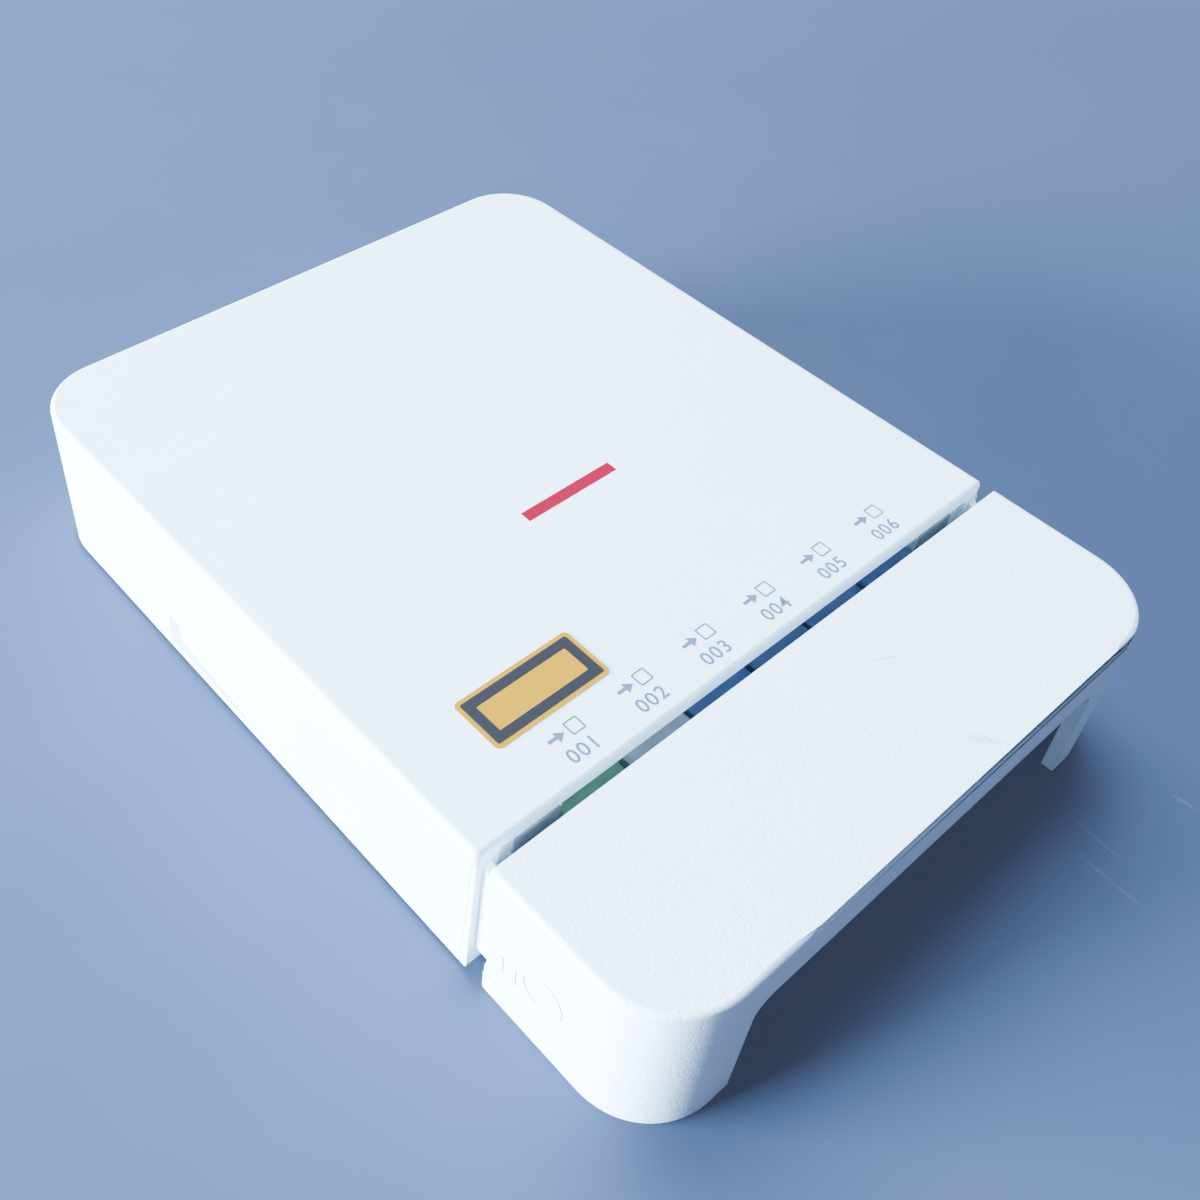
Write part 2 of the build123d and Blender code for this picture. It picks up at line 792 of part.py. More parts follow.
def fibre_radii(index):
    """Arc at each inner corner of a fibre's route, clear of its boot."""
    start, turn, drop, corner, end = [Vector(point) for point in fibre_route(index)]
    free_run = turn.Y - boot_back_y
    slope = drop - turn
    half_turn = radians(slope.get_angle(Vector(0, 1, 0))) / 2
    first = min(2 * arc_share * free_run, arc_share * slope.length) / tan(half_turn)
    straight = corner.Y - drop.Y - back_bend_radius
    second = min(2 * arc_share * straight, arc_share * slope.length) / tan(half_turn)
    return [first, second, back_bend_radius]


def fibre(index):
    """Pigtail fibre swept along straight runs joined by tangent arcs."""
    points = fibre_route(index)
    path = FilletPolyline(*points, radius=fibre_radii(index))
    section = Plane(origin=path @ 0, z_dir=path % 0) * Circle(fibre_radius)
    return sweep(section, path=path)


def splitter_module():
    """Splitter: a small steel-cased block that the fibres enter at its two ends."""
    block = Box(splitter_length, splitter_width, splitter_height)
    block = fillet(block.edges().filter_by(Axis.X), edge_radius)
    return Pos(splitter_x, splitter_y, splitter_z) * block


def cover_screws():
    """Four identical pan-head screws, put in from below."""
    screws = []
    for x, y in screw_places:
        head_top = screw_recess_depth
        head = column(x, y, head_top - screw_head_height, head_top, screw_head_radius)
        head = fillet(head.edges().sort_by(Axis.Z)[0], screw_head_height / 3)
        shank = column(x, y, head_top, screw_tip, screw_radius)
        screw = head + shank
        low = head_top - screw_head_height
        for across, along in ((driver_width, 3 * driver_width), (3 * driver_width, driver_width)):
            slot_x = (x - across / 2, x + across / 2)
            slot_y = (y - along / 2, y + along / 2)
            screw -= span(slot_x, slot_y, (low - over, low + driver_depth))
        screws.append(screw)
    return Compound(children=screws)


def red_strip():
    """Red strip set flush in the top of the cover."""
    strip_y = front_y + strip_from_front
    z = box_height - strip_depth / 2
    return Pos(0, strip_y, z) * Box(strip_length, strip_width, strip_depth)


def blank_label():
    """Thin bare label with rounded corners on top of the cover."""
    outline = Rectangle(label_length, label_width)
    outline = fillet(outline.vertices(), label_radius)
    place = Pos(label_x, front_y + label_from_front, box_height)
    return place * extrude(outline, label_thickness)


def build_parts():
    """Every sub-part by its name."""
    parts = {
        "base_tray": base_tray(),
        "top_cover": top_cover(),
        "port_hood": port_hood(),
        "splitter_module": splitter_module(),
        "cover_screws": cover_screws(),
        "red_strip": red_strip(),
        "blank_label": blank_label(),
    }
    for index, (name, x) in enumerate(zip(port_names, port_places)):
        parts[f"{name}_adapter"] = adapter(x)
        parts[f"{name}_latch"] = latch_frame(x)
        parts[f"{name}_sleeve"] = sleeve(x)
        parts[f"{name}_ferrule"] = ferrule(x)
        parts[f"{name}_plug"] = plug(x)
        parts[f"{name}_boot"] = boot(x)
        parts[f"{name}_fibre"] = fibre(index)
    return parts


os.makedirs("parts", exist_ok=True)
for name, part in build_parts().items():
    export_step(part, f"parts/{name}.step")
for index, name in enumerate(port_names):
    print(name, "fibre radii", [round(radius, 1) for radius in fibre_radii(index)])
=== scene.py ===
import math

import bmesh
import bpy
from mathutils import Matrix, Vector


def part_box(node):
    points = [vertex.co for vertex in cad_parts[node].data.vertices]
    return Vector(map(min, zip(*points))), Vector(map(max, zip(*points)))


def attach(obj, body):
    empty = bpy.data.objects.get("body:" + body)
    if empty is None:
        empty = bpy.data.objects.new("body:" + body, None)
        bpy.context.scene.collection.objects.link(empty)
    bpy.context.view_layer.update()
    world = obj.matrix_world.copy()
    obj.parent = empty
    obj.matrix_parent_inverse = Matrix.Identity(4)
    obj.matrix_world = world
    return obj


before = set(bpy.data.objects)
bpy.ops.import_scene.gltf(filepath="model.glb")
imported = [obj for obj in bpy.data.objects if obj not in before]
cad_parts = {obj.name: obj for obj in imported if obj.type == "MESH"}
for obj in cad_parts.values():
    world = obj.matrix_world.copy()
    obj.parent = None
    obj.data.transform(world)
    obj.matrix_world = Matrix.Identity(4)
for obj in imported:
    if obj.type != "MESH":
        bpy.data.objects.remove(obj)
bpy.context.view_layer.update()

# Blender works in metres. Sizes below are in millimetres, turned into metres by this factor.
MM = 0.001

PORTS = ["input", "cascade", "output_1", "output_2", "output_3", "output_4"]

# Colours, as linear red, green and blue
SHELL_LIGHT = (0.82, 0.89, 0.95)
SHELL_DARK = (0.80, 0.87, 0.93)
SPECK_GREY = (0.22, 0.23, 0.26)
SCUFF_GREY = (0.20, 0.22, 0.27)
# Near black of the painted shade along the hood's front edge
GROOVE_SHADE_GREY = (0.02, 0.025, 0.035)
ADAPTER_GREEN = (0.215, 0.39, 0.22)
ADAPTER_GREY = (0.56, 0.53, 0.59)
ADAPTER_BLUE = (0.135, 0.19, 0.33)
# Dark grey of the plates beside the row of ports, which are painted shade
SHADE_PLATE_GREY = (0.24, 0.25, 0.27)
LATCH_IVORY = (0.62, 0.56, 0.42)
CERAMIC_WHITE = (0.85, 0.84, 0.80)
BOOT_GREY = (0.45, 0.48, 0.52)
FIBRE_WHITE = (0.78, 0.78, 0.74)
STEEL_GREY = (0.46, 0.47, 0.49)
STRIP_RED = (0.27, 0.0, 0.016)
LABEL_YELLOW = (0.46, 0.185, 0.0)
LABEL_FRAME = (0.023, 0.018, 0.019)
PRINT_GREY = (0.10, 0.115, 0.16)
FLOOR_LIGHT = (0.031, 0.041, 0.082)
FLOOR_DARK = (0.027, 0.036, 0.072)
# Colour of the floor's weak glow, painted light that lifts its deep shadows
FLOOR_GLOW = (0.42, 0.52, 0.85)
STREAK_GREY = (0.055, 0.065, 0.10)

# Range that most of a noise's values lie in, and the part of it where a mottled colour changes
NOISE_RANGE = (0.3, 0.7)
TONE_RANGE = (0.35, 0.65)
# Detail of a noise: plain, usual and brushed
PLAIN_DETAIL = 2.0
NOISE_DETAIL = 3.0
BRUSH_DETAIL = 4.0
# Share of a patch's radius where its soft edge begins, and half depth of a mark's patch
PATCH_CORE = 0.5
MARK_HALF_DEPTH = 1.0


def shade(colour, factor):
    """Colour made darker or lighter by a factor."""
    return tuple(min(1.0, part * factor) for part in colour)


class Finish:
    """A node material under construction, placed by object coordinates. Sizes are in millimetres."""

    def __init__(self, name):
        self.material = bpy.data.materials.new(name)
        self.material.use_nodes = True
        self.nodes = self.material.node_tree.nodes
        self.links = self.material.node_tree.links
        self.shader = self.nodes["Principled BSDF"]
        self.place = self.nodes.new("ShaderNodeTexCoord").outputs["Object"]

    def noise(self, size, detail=NOISE_DETAIL, stretch=(1.0, 1.0, 1.0), turn=0.0):
        """Noise whose grains are about as large as size, and longer where stretch is small."""
        mapping = self.nodes.new("ShaderNodeMapping")
        mapping.inputs["Rotation"].default_value = (0.0, 0.0, turn)
        mapping.inputs["Scale"].default_value = stretch
        self.links.new(self.place, mapping.inputs["Vector"])
        texture = self.nodes.new("ShaderNodeTexNoise")
        texture.inputs["Scale"].default_value = 1.0 / (size * MM)
        texture.inputs["Detail"].default_value = detail
        self.links.new(mapping.outputs["Vector"], texture.inputs["Vector"])
        return texture.outputs["Fac"]

    def ramp(self, value, dark, light, limits=TONE_RANGE):
        """Colour that runs between two as the value runs between its limits."""
        node = self.nodes.new("ShaderNodeValToRGB")
        for stop, place, colour in zip(node.color_ramp.elements, limits, (dark, light)):
            stop.position = place
            stop.color = (*colour, 1.0)
        self.links.new(value, node.inputs["Fac"])
        return node.outputs["Color"]

    def map_range(self, value, limits, results, smooth=False):
        """Value changed so that its limits give the two results."""
        node = self.nodes.new("ShaderNodeMapRange")
        if smooth:
            node.interpolation_type = "SMOOTHSTEP"
        for name, number in zip(("From Min", "From Max", "To Min", "To Max"), (*limits, *results)):
            node.inputs[name].default_value = number
        self.links.new(value, node.inputs["Value"])
        return node.outputs["Result"]

    def spread(self, noise, low, high):
        """Noise stretched to run between two numbers."""
        return self.map_range(noise, NOISE_RANGE, (low, high))

    def fade(self, value, full, none):
        """Smooth fall from 1 to 0 between two values."""
        return self.map_range(value, (full, none), (1.0, 0.0), smooth=True)

    def multiply(self, first, second):
        """Product of two values."""
        node = self.nodes.new("ShaderNodeMath")
        node.operation = "MULTIPLY"
        self.links.new(first, node.inputs[0])
        self.links.new(second, node.inputs[1])
        return node.outputs["Value"]

    def blend(self, colour, other, share):
        """Colour mixed with a share of another."""
        node = self.nodes.new("ShaderNodeMix")
        node.data_type = "RGBA"
        node.inputs["B"].default_value = (*other, 1.0)
        self.links.new(share, node.inputs["Factor"])
        self.links.new(colour, node.inputs["A"])
        return node.outputs["Result"]

    def specks(self, colour, other, spacing, radius):
        """Colour with sparse specks of another, their radius a share of their spacing."""
        cells = self.nodes.new("ShaderNodeTexVoronoi")
        cells.inputs["Scale"].default_value = 1.0 / (spacing * MM)
        self.links.new(self.place, cells.inputs["Vector"])
        near = self.nodes.new("ShaderNodeMath")
        near.operation = "LESS_THAN"
        near.inputs[1].default_value = radius
        self.links.new(cells.outputs["Distance"], near.inputs[0])
        return self.blend(colour, other, near.outputs["Value"])

    def patch(self, place, half, turn=0.0):
        """Soft-edged ellipsoid, 1 inside and 0 outside, from its middle and half sizes."""
        mapping = self.nodes.new("ShaderNodeMapping")
        mapping.vector_type = "TEXTURE"
        mapping.inputs["Location"].default_value = Vector(place) * MM
        mapping.inputs["Rotation"].default_value = (0.0, 0.0, turn)
        mapping.inputs["Scale"].default_value = Vector(half) * MM
        self.links.new(self.place, mapping.inputs["Vector"])
        length = self.nodes.new("ShaderNodeVectorMath")
        length.operation = "LENGTH"
        self.links.new(mapping.outputs["Vector"], length.inputs[0])
        return self.fade(length.outputs["Value"], PATCH_CORE, 1.0)

    def marks(self, colour, other, level, marks, broken):
        """Colour with long marks of another, each a middle, half length and width, and degrees."""
        for middle, half_length, half_width, degrees in marks:
            half = (half_length, half_width, MARK_HALF_DEPTH)
            mask = self.patch((*middle, level), half, math.radians(degrees))
            colour = self.blend(colour, other, self.multiply(mask, broken))
        return colour

    def bump(self, height, depth, strength=1.0, below=None):
        """Normal bumped by a height, on top of an earlier bump."""
        node = self.nodes.new("ShaderNodeBump")
        node.inputs["Strength"].default_value = strength
        node.inputs["Distance"].default_value = depth * MM
        self.links.new(height, node.inputs["Height"])
        if below is not None:
            self.links.new(below, node.inputs["Normal"])
        return node.outputs["Normal"]

    def set(self, name, value):
        """Sets a socket of the shader, by a link or as a plain number or colour."""
        socket = self.shader.inputs[name]
        if isinstance(value, bpy.types.NodeSocket):
            self.links.new(value, socket)
        elif isinstance(value, tuple):
            socket.default_value = (*value, 1.0)
        else:
            socket.default_value = value


# White shell: slow changes of tone, specks, roughness, shine through
SHELL_TONE_SIZE = 14
SPECK_SPACING = 11
SPECK_RADIUS = 0.012
SHELL_ROUGHNESS = (0.42, 0.58)
SHELL_ROUGHNESS_SIZE = 1.2
SUBSURFACE = 0.05
SUBSURFACE_DEPTH = 0.6
# Eroded grain: shallow pits all in one direction, found in patches, over a fine grain
PIT_SIZE = 0.5
PIT_STRETCH = 0.6
PIT_TURN = math.radians(45)
PIT_NOISE = (0.36, 0.44)
PIT_DEPTH = 0.045
PATCH_SIZE = 9.0
PATCH_LEAST = 0.25
GRAIN_SIZE = 0.32
GRAIN_DEPTH = 0.028
# Share of the grain's depth on the body. The hood has all of it.
BODY_GRAIN = 0.25


def pits(finish):
    """Height that is 1 on the plain surface and falls to 0 in the pits."""
    grains = finish.noise(PIT_SIZE, PLAIN_DETAIL, (1.0, PIT_STRETCH, 1.0), PIT_TURN)
    holes = finish.fade(grains, *PIT_NOISE)
    patches = finish.spread(finish.noise(PATCH_SIZE, PLAIN_DETAIL), PATCH_LEAST, 1.0)
    height = finish.nodes.new("ShaderNodeMath")
    height.operation = "SUBTRACT"
    height.inputs[0].default_value = 1.0
    finish.links.new(finish.multiply(holes, patches), height.inputs[1])
    return height.outputs["Value"]


def shell_plastic(name, grain, wear_and_shade=None):
    """White moulded plastic with an eroded grain and sparse specks, and wear and painted shade if it has
    any.
    """
    finish = Finish(name)
    colour = finish.ramp(finish.noise(SHELL_TONE_SIZE), SHELL_DARK, SHELL_LIGHT)
    colour = finish.specks(colour, SPECK_GREY, SPECK_SPACING, SPECK_RADIUS)
    if wear_and_shade is not None:
        colour = wear_and_shade(finish, colour)
    finish.set("Base Color", colour)
    finish.set("Roughness", finish.spread(finish.noise(SHELL_ROUGHNESS_SIZE), *SHELL_ROUGHNESS))
    pitted = finish.bump(pits(finish), PIT_DEPTH * grain)
    fine = finish.noise(GRAIN_SIZE, PLAIN_DETAIL)
    finish.set("Normal", finish.bump(fine, GRAIN_DEPTH * grain, below=pitted))
    finish.set("Subsurface Weight", SUBSURFACE)
    finish.set("Subsurface Scale", SUBSURFACE_DEPTH * MM)
    return finish.material


# Scuffs on the hood's top: middle, half length and width, and direction in degrees
SCUFFS = [
    ((12.4, -56.5), 3.2, 0.35, -25),
    ((10.9, -74.6), 2.6, 0.9, -50),
    ((12.6, -77.0), 1.4, 0.30, -60),
]
SCUFF_NOISE_SIZE = 0.7
SCUFF_SHARE = (0.0, 0.7)
# Painted shade: dark lines along the hood's front edge stand in for the shade of the grooves at its rough
# parting line. Each has its distance below the top and half thickness
GROOVE_SHADE_LINES = [(0.75, 0.75), (2.3, 0.6)]
EDGE_MIDDLE = 40.0
EDGE_HALF_LENGTH = 75.0
EDGE_HALF_DEPTH = 0.6
EDGE_NOISE_SIZE = 1.4
EDGE_SHARE = (0.7, 1.0)


def hood_scuffs_and_shade(finish, colour):
    """Scuffs on the top, and painted shade of the grooves at the rough parting line along the front edge.
    """
    top = top_of("port_hood") / MM
    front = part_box("port_hood")[0].y / MM
    broken = finish.spread(finish.noise(SCUFF_NOISE_SIZE), *SCUFF_SHARE)
    colour = finish.marks(colour, SCUFF_GREY, top, SCUFFS, broken)
    # Painted shade: dark lines under the front top edge, broken by noise
    rough_shade = finish.spread(finish.noise(EDGE_NOISE_SIZE), *EDGE_SHARE)
    for below, half in GROOVE_SHADE_LINES:
        middle = (EDGE_MIDDLE, front, top - below)
        mask = finish.patch(middle, (EDGE_HALF_LENGTH, EDGE_HALF_DEPTH, half))
        colour = finish.blend(colour, GROOVE_SHADE_GREY, finish.multiply(mask, rough_shade))
    return colour


# Coloured plastic: mottle, and how far its roughness varies either way
PLASTIC_SHADES = (0.88, 1.08)
PLASTIC_TONE_SIZE = 3
PLASTIC_ROUGHNESS_SIZE = 0.8
PLASTIC_ROUGHNESS_CHANGE = 0.06
PLASTIC_GRAIN_SIZE = 0.3
SOFT_DEPTH = 0.01
SOFT_BUMP = 0.3


def smooth_plastic(name, colour, roughness):
    """Coloured moulded plastic with a soft sheen and slight mottling."""
    finish = Finish(name)
    dark, light = (shade(colour, factor) for factor in PLASTIC_SHADES)
    finish.set("Base Color", finish.ramp(finish.noise(PLASTIC_TONE_SIZE), dark, light))
    low = roughness - PLASTIC_ROUGHNESS_CHANGE
    high = roughness + PLASTIC_ROUGHNESS_CHANGE
    finish.set("Roughness", finish.spread(finish.noise(PLASTIC_ROUGHNESS_SIZE), low, high))
    grain = finish.noise(PLASTIC_GRAIN_SIZE, PLAIN_DETAIL)
    finish.set("Normal", finish.bump(grain, SOFT_DEPTH, SOFT_BUMP))
    return finish.material


BRUSH_SIZE = 0.5
BRUSH_STRETCH = (0.04, 1.0, 1.0)
BRUSH_SHADE = 0.8
BRUSH_BUMP = 0.4
STEEL_ROUGHNESS = (0.28, 0.42)


def brushed_steel(name):
    """Steel brushed across the box."""
    finish = Finish(name)
    grain = finish.noise(BRUSH_SIZE, BRUSH_DETAIL, BRUSH_STRETCH)
    finish.set("Base Color", finish.ramp(grain, shade(STEEL_GREY, BRUSH_SHADE), STEEL_GREY, NOISE_RANGE))
    finish.set("Metallic", 1.0)
    finish.set("Roughness", finish.spread(grain, *STEEL_ROUGHNESS))
    finish.set("Normal", finish.bump(grain, SOFT_DEPTH, BRUSH_BUMP))
    return finish.material


FILM_SHADE = 0.93
FILM_TONE_SIZE = 0.7
FILM_ROUGHNESS = (0.38, 0.5)
FILM_ROUGHNESS_SIZE = 0.4
FILM_GRAIN_SIZE = 0.38
FILM_SPECULAR = 0.02


def printed_film(name, colour):
    """Printed film or ink: even colour with a faint mottle."""
    finish = Finish(name)
    finish.set("Base Color", finish.ramp(finish.noise(FILM_TONE_SIZE), shade(colour, FILM_SHADE), colour))
    finish.set("Roughness", finish.spread(finish.noise(FILM_ROUGHNESS_SIZE), *FILM_ROUGHNESS))
    finish.set("Specular IOR Level", FILM_SPECULAR)
    grain = finish.noise(FILM_GRAIN_SIZE, PLAIN_DETAIL)
    finish.set("Normal", finish.bump(grain, SOFT_DEPTH, SOFT_BUMP))
    return finish.material


# Table: faint light scratches, with their middle, half length and width, and direction in degrees
FLOOR_STREAKS = [
    ((35.6, -89.9), 6.6, 0.45, -95),
    ((30.3, -96.9), 8.3, 0.45, -93),
    ((53.3, -96.0), 3.0, 0.45, -85),
]
STREAK_NOISE_SIZE = 5
STREAK_SHARE = (0.2, 1.0)
FLOOR_TONE_SIZE = 260
FLOOR_ROUGHNESS = (0.68, 0.8)
FLOOR_ROUGHNESS_SIZE = 40
FLOOR_GRAIN_SIZE = 0.6
FLOOR_BUMP = 0.2
FLOOR_SPECULAR = 0.25
# Painted light: the floor glows weakly to lift the deep shadows, as haze does
FLOOR_GLOW_STRENGTH = 0.075


def floor_finish():
    """Blue-grey table top with slow changes of tone, a few faint scratches and a weak glow of painted
    light.
    """
    finish = Finish("floor")
    colour = finish.ramp(finish.noise(FLOOR_TONE_SIZE, PLAIN_DETAIL), FLOOR_DARK, FLOOR_LIGHT)
    broken = finish.spread(finish.noise(STREAK_NOISE_SIZE), *STREAK_SHARE)
    finish.set("Base Color", finish.marks(colour, STREAK_GREY, 0.0, FLOOR_STREAKS, broken))
    finish.set("Roughness", finish.spread(finish.noise(FLOOR_ROUGHNESS_SIZE), *FLOOR_ROUGHNESS))
    # Painted light: a weak glow lifts the floor's deep shadows
    finish.set("Emission Color", FLOOR_GLOW)
    finish.set("Emission Strength", FLOOR_GLOW_STRENGTH)
    finish.set("Specular IOR Level", FLOOR_SPECULAR)
    grain = finish.noise(FLOOR_GRAIN_SIZE, PLAIN_DETAIL)
    finish.set("Normal", finish.bump(grain, SOFT_DEPTH, FLOOR_BUMP))
    return finish.material


ADAPTER_ROUGHNESS = 0.38
LATCH_ROUGHNESS = 0.42
CERAMIC_ROUGHNESS = 0.2
BOOT_ROUGHNESS = 0.7
FIBRE_ROUGHNESS = 0.35
PLATE_ROUGHNESS = 0.45


def paint(node, material):
    """Gives a node's object one material for every slot."""
    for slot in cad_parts[node].material_slots:
        slot.link = "OBJECT"
        slot.material = material


def paint_nodes():
    """Every CAD node in its own finish."""
    body = shell_plastic("shell_plastic", BODY_GRAIN)
    paint("base_tray", body)
    paint("top_cover", body)
    # The hood's finish carries real scuffs and painted shade along its front edge
    paint("port_hood", shell_plastic("hood_plastic", 1.0, hood_scuffs_and_shade))
    green = smooth_plastic("input_plastic", ADAPTER_GREEN, ADAPTER_ROUGHNESS)
    grey = smooth_plastic("cascade_plastic", ADAPTER_GREY, ADAPTER_ROUGHNESS)
    blue = smooth_plastic("output_plastic", ADAPTER_BLUE, ADAPTER_ROUGHNESS)
    adapters = {"input": green, "cascade": grey}
    plugs = {"input": green}
    same_in_each_port = {
        "latch": smooth_plastic("latch_plastic", LATCH_IVORY, LATCH_ROUGHNESS),
        "boot": smooth_plastic("boot_rubber", BOOT_GREY, BOOT_ROUGHNESS),
        "fibre": smooth_plastic("fibre_jacket", FIBRE_WHITE, FIBRE_ROUGHNESS),
    }
    ceramic = smooth_plastic("white_ceramic", CERAMIC_WHITE, CERAMIC_ROUGHNESS)
    same_in_each_port["sleeve"] = ceramic
    same_in_each_port["ferrule"] = ceramic
    for port in PORTS:
        paint(f"{port}_adapter", adapters.get(port, blue))
        paint(f"{port}_plug", plugs.get(port, blue))
        for part, material in same_in_each_port.items():
            paint(f"{port}_{part}", material)
    steel = brushed_steel("splitter_steel")
    paint("splitter_module", steel)
    paint("cover_screws", steel)
    paint("red_strip", printed_film("strip_red", STRIP_RED))
    paint("blank_label", printed_film("label_yellow", LABEL_YELLOW))


def top_of(node):
    """Level of a node's top."""
    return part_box(node)[1].z


def front_of_body():
    """Place of the body's front plane."""
    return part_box("top_cover")[0].y


def port_x(port):
    """Middle of a port, across the box."""
    low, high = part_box(f"{port}_adapter")
    return (low.x + high.x) / 2


def mesh_object(name, bm, material):
    """Object made from a bmesh, in one material."""
    mesh = bpy.data.meshes.new(name)
    bm.to_mesh(mesh)
    bm.free()
    mesh.materials.append(material)
    piece = bpy.data.objects.new(name, mesh)
    bpy.context.scene.collection.objects.link(piece)
    return piece


CORNER_STEPS = 6


def rounded_loop(width, height, radius):
    """Corner points of a rounded rectangle about the origin."""
    points = []
    for quarter in range(4):
        angle = quarter * math.pi / 2
        x_sign = 1 if quarter in (0, 3) else -1
        y_sign = 1 if quarter in (0, 1) else -1
        centre = Vector((x_sign * (width / 2 - radius), y_sign * (height / 2 - radius)))
        for step in range(CORNER_STEPS + 1):
            turn = angle + step / CORNER_STEPS * math.pi / 2
            points.append(centre + radius * Vector((math.cos(turn), math.sin(turn))))
    return points


def lifted(points, place, rise):
    """Flat points moved to a place and raised above it."""
    return [(place.x + point.x, place.y + point.y, place.z + rise) for point in points]


def add_walls(bm, loops):
    """Bands of faces from each loop of corners to the next."""
    for low, high in zip(loops, loops[1:]):
        for i in range(len(low)):
            j = (i + 1) % len(low)
            bm.faces.new((low[i], low[j], high[j], high[i]))


def add_corners(bm, rings):
    """Mesh corners for rings of points."""
    return [[bm.verts.new(point) for point in ring] for ring in rings]


def add_ring(bm, outer, inner, place):
    """Thin flat ring between two loops of as many points."""
    rise = MARK_RISE * MM
    steps = ((outer, 0.0), (outer, rise), (inner, rise), (inner, 0.0))
    loops = add_corners(bm, [lifted(loop, place, level) for loop, level in steps])
    add_walls(bm, loops + loops[:1])


def add_solid(bm, rings):
    """Closed form through rings of points, capped at both ends."""
    loops = add_corners(bm, rings)
    add_walls(bm, loops)
    bm.faces.new(loops[-1])
    bm.faces.new(list(reversed(loops[0])))


# Printed marks stand this much above what they are printed on
MARK_RISE = 0.02
# Dark frame on the label
FRAME_BORDER = 0.75
FRAME_WIDTH = 1.75
FRAME_OUTER_RADIUS = 0.35
FRAME_INNER_RADIUS = 0.15


def label_frame(material):
    """Dark frame printed on the bare label."""
    low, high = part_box("blank_label")
    width = high.x - low.x - 2 * FRAME_BORDER * MM
    height = high.y - low.y - 2 * FRAME_BORDER * MM
    place = Vector(((low.x + high.x) / 2, (low.y + high.y) / 2, high.z))
    inside = 2 * FRAME_WIDTH * MM
    bm = bmesh.new()
    outer = rounded_loop(width, height, FRAME_OUTER_RADIUS * MM)
    inner = rounded_loop(width - inside, height - inside, FRAME_INNER_RADIUS * MM)
    add_ring(bm, outer, inner, place)
    piece = mesh_object("label_frame", bm, material)
    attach(piece, "root")


# Plain number in front of each adapter. A digit's height is a share of the font's size.
NUMBER_HEIGHT = 2.4
DIGIT_SHARE = 0.7
NUMBER_FROM_FRONT = 2.45
NUMBER_WEIGHT = 0.055
NUMBER_SPACING = 1.15
# Picture of a socket behind the number, with an arrow beside it
PICTURE_HEIGHT = 2.6
PICTURE_FROM_FRONT = 6.1
PICTURE_LINE = 0.3
# Place of the socket and points of the arrow, as shares of the picture's height
SOCKET_PLACE = 0.7
HALF_ARROW = [(-1.25, 0.12), (-0.65, 0.12), (-0.65, 0.42)]
ARROW_TIP = (-0.05, 0.0)


def port_picture(port, x, y, material):
    """Picture of a socket with an arrow pointing into it."""
    height = PICTURE_HEIGHT * MM
    inside = height - 2 * PICTURE_LINE * MM
    level = top_of("top_cover")
    bm = bmesh.new()
    outer = rounded_loop(height, height, FRAME_OUTER_RADIUS * MM)
    inner = rounded_loop(inside, inside, FRAME_INNER_RADIUS * MM)
    add_ring(bm, outer, inner, Vector((x + SOCKET_PLACE * height, y, level)))
    other_half = [(along, -across) for along, across in reversed(HALF_ARROW)]
    arrow = HALF_ARROW + [ARROW_TIP] + other_half
    points = [Vector(corner) * height for corner in reversed(arrow)]
    place = Vector((x, y, level))
    add_solid(bm, [lifted(points, place, 0.0), lifted(points, place, MARK_RISE * MM)])
    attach(mesh_object(f"{port}_picture", bm, material), "root")


def port_number(port, text, x, y, material):
    """Plain number lying on the cover, as a thin mesh."""
    name = f"{port}_number"
    curve = bpy.data.curves.new(name, "FONT")
    curve.body = text
    curve.size = NUMBER_HEIGHT * MM / DIGIT_SHARE
    curve.align_x = "CENTER"
    curve.space_character = NUMBER_SPACING
    curve.offset = NUMBER_WEIGHT * MM
    curve.extrude = MARK_RISE * MM / 2
    holder = bpy.data.objects.new(name, curve)
    bpy.context.scene.collection.objects.link(holder)
    bpy.context.view_layer.update()
    mesh = bpy.data.meshes.new_from_object(holder)
    bpy.data.objects.remove(holder)
    bpy.data.curves.remove(curve)
    mesh.transform(Matrix.Translation((x, y, top_of("top_cover") + MARK_RISE * MM / 2)))
    mesh.materials.clear()
    mesh.materials.append(material)
    piece = bpy.data.objects.new(name, mesh)
    bpy.context.scene.collection.objects.link(piece)
    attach(piece, "root")


def port_marks(material):
    """A number and a picture for each port."""
    number_y = front_of_body() + NUMBER_FROM_FRONT * MM
    picture_y = front_of_body() + (PICTURE_FROM_FRONT + PICTURE_HEIGHT / 2) * MM
    for number, port in enumerate(PORTS, 1):
        port_number(port, f"{number:03d}", port_x(port), number_y, material)
        port_picture(port, port_x(port), picture_y, material)


# Dark plates beside the row of ports: painted shade, standing in for the shade in the space there
PLATE_ROOM = 0.35
PLATE_THICKNESS = 0.3
PLATE_CHAMFER = 0.1
PLATE_BOTTOM = 13.5
PLATE_TOP = 28.0
PLATE_RADIUS = 0.6
# Face of the shell's panel behind the plates, and where the window's posts begin
PANEL_SETBACK = 0.6
POST_FROM_SIDE = 6.9


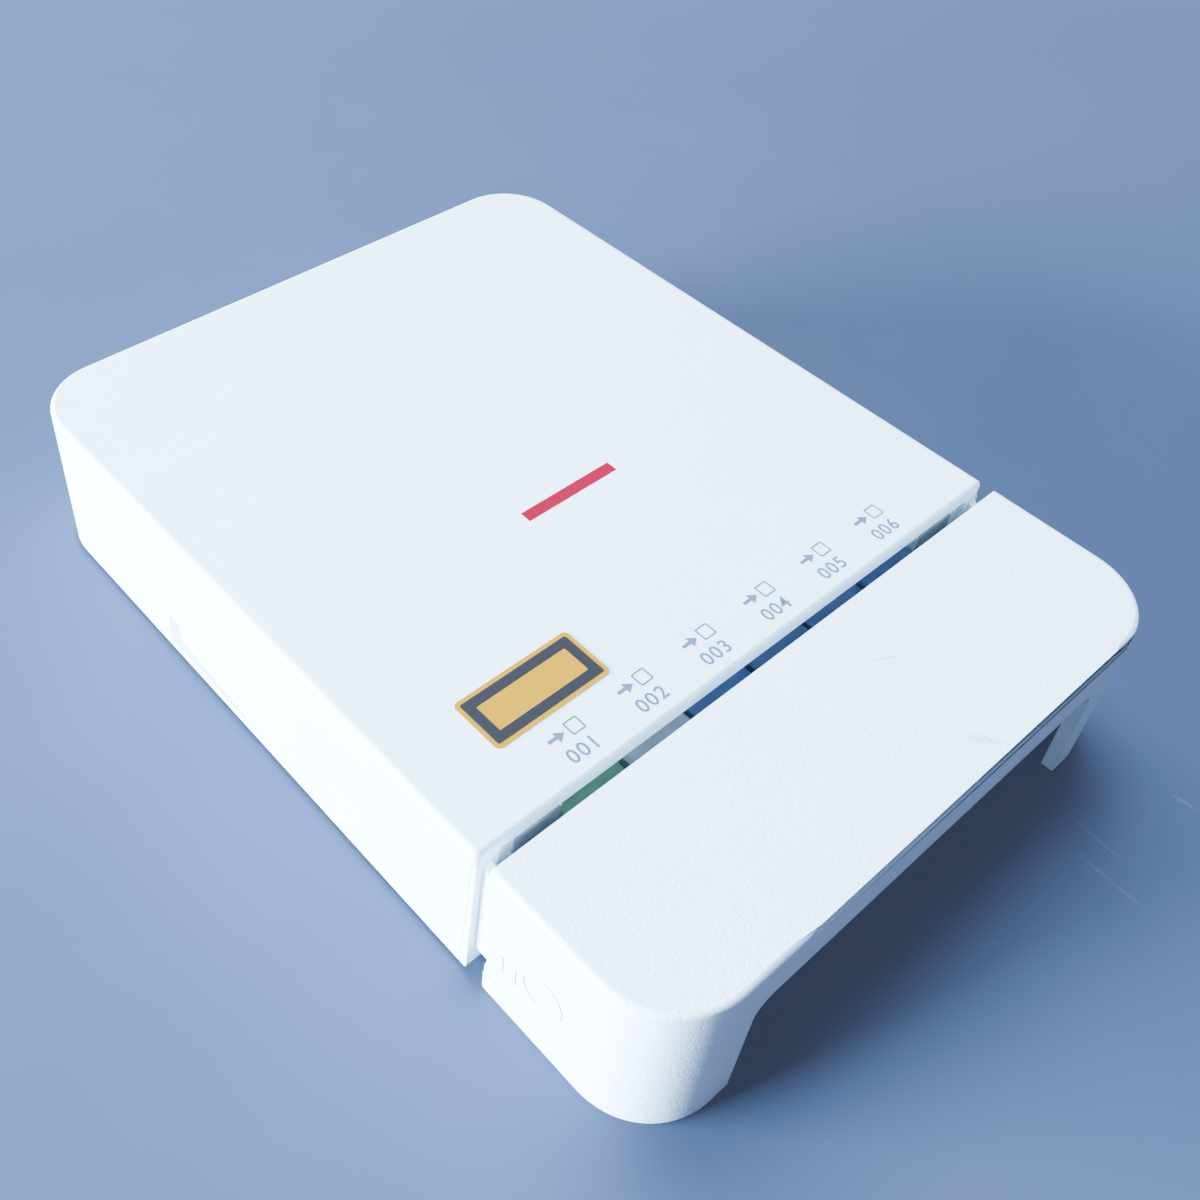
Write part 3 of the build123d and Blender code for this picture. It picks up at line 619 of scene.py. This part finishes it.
def shade_plate(name, side, material):
    """Thin dark grey plate on the panel between the row of ports and the side post, standing in for the
    shade there as painted shade.
    """
    row_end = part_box("output_4_adapter")[1].x + PLATE_ROOM * MM
    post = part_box("top_cover")[1].x - (POST_FROM_SIDE + PLATE_ROOM) * MM
    width = post - row_end
    height = (PLATE_TOP - PLATE_BOTTOM) * MM
    middle = Vector((side * (row_end + post) / 2, (PLATE_TOP + PLATE_BOTTOM) / 2 * MM))
    face = front_of_body() + PANEL_SETBACK * MM
    rings = []
    before_chamfer = PLATE_THICKNESS - PLATE_CHAMFER
    for depth, inset in ((0.0, 0.0), (before_chamfer, 0.0), (PLATE_THICKNESS, PLATE_CHAMFER)):
        smaller = 2 * inset * MM
        loop = rounded_loop(width - smaller, height - smaller, (PLATE_RADIUS - inset) * MM)
        level = face - depth * MM
        rings.append([(middle.x + point.x, level, middle.y + point.y) for point in loop])
    bm = bmesh.new()
    add_solid(bm, rings)
    piece = mesh_object(name, bm, material)
    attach(piece, "root")


# Half the table's width, in metres
FLOOR_HALF = 3.0


def make_floor():
    """Plain table top."""
    bm = bmesh.new()
    signs = ((-1, -1), (1, -1), (1, 1), (-1, 1))
    bm.faces.new([bm.verts.new((x * FLOOR_HALF, y * FLOOR_HALF, 0.0)) for x, y in signs])
    floor = mesh_object("floor", bm, floor_finish())


# Cool daylight: each light's place and size in metres, and its power in watts
LIGHT_TINT = (0.48, 0.74, 1.0)
SKY_TINT = (0.50, 0.68, 1.0)
SKY_STRENGTH = 0.48
LIGHTS = {
    "window": ((-1.35, 0.72, 0.24), (0.9, 0.42), 660.0),
    "ceiling": ((0.3, 0.7, 1.5), (1.2, 1.2), 155.0),
}


def area_light(name, place, size, power):
    """Soft rectangular light aimed at the box."""
    data = bpy.data.lights.new(name, "AREA")
    data.shape = "RECTANGLE"
    data.size, data.size_y = size
    data.energy = power
    data.color = LIGHT_TINT
    light = bpy.data.objects.new(name, data)
    light.location = place
    light.rotation_euler = (-Vector(place)).to_track_quat("-Z", "Y").to_euler()
    bpy.context.scene.collection.objects.link(light)


def make_lights():
    """Low window light from the left, a soft ceiling and a pale surrounding."""
    world = bpy.data.worlds.new("studio")
    world.use_nodes = True
    background = world.node_tree.nodes["Background"]
    background.inputs["Color"].default_value = (*SKY_TINT, 1.0)
    background.inputs["Strength"].default_value = SKY_STRENGTH
    bpy.context.scene.world = world
    for name, (place, size, power) in LIGHTS.items():
        area_light(name, place, size, power)


# Camera fitted to the photograph's edges, with its angles in degrees
CAMERA_PLACE = (-126.71, -114.45, 192.85)
CAMERA_ANGLES = (45.947, -2.673, -41.463)
CAMERA_LENS = 42.095
CAMERA_SENSOR = 36.0
CAMERA_SHIFT = (0.0833, -0.0833)
CAMERA_NEAREST = 0.01


def make_camera():
    """Camera at the photograph's viewing angle."""
    data = bpy.data.cameras.new("camera")
    data.lens = CAMERA_LENS
    data.sensor_width = CAMERA_SENSOR
    data.shift_x, data.shift_y = CAMERA_SHIFT
    data.clip_start = CAMERA_NEAREST
    camera = bpy.data.objects.new("camera", data)
    camera.location = Vector(CAMERA_PLACE) * MM
    camera.rotation_euler = [math.radians(angle) for angle in CAMERA_ANGLES]
    bpy.context.scene.collection.objects.link(camera)
    bpy.context.scene.camera = camera


make_camera()
paint_nodes()
label_frame(printed_film("label_frame", LABEL_FRAME))
port_marks(printed_film("print_grey", PRINT_GREY))
# Painted shade: dark plates beside the row of ports stand in for the shade there
plate = smooth_plastic("shade_plate_grey", SHADE_PLATE_GREY, PLATE_ROUGHNESS)
shade_plate("left_shade_plate", -1, plate)
shade_plate("right_shade_plate", 1, plate)
make_floor()
make_lights()
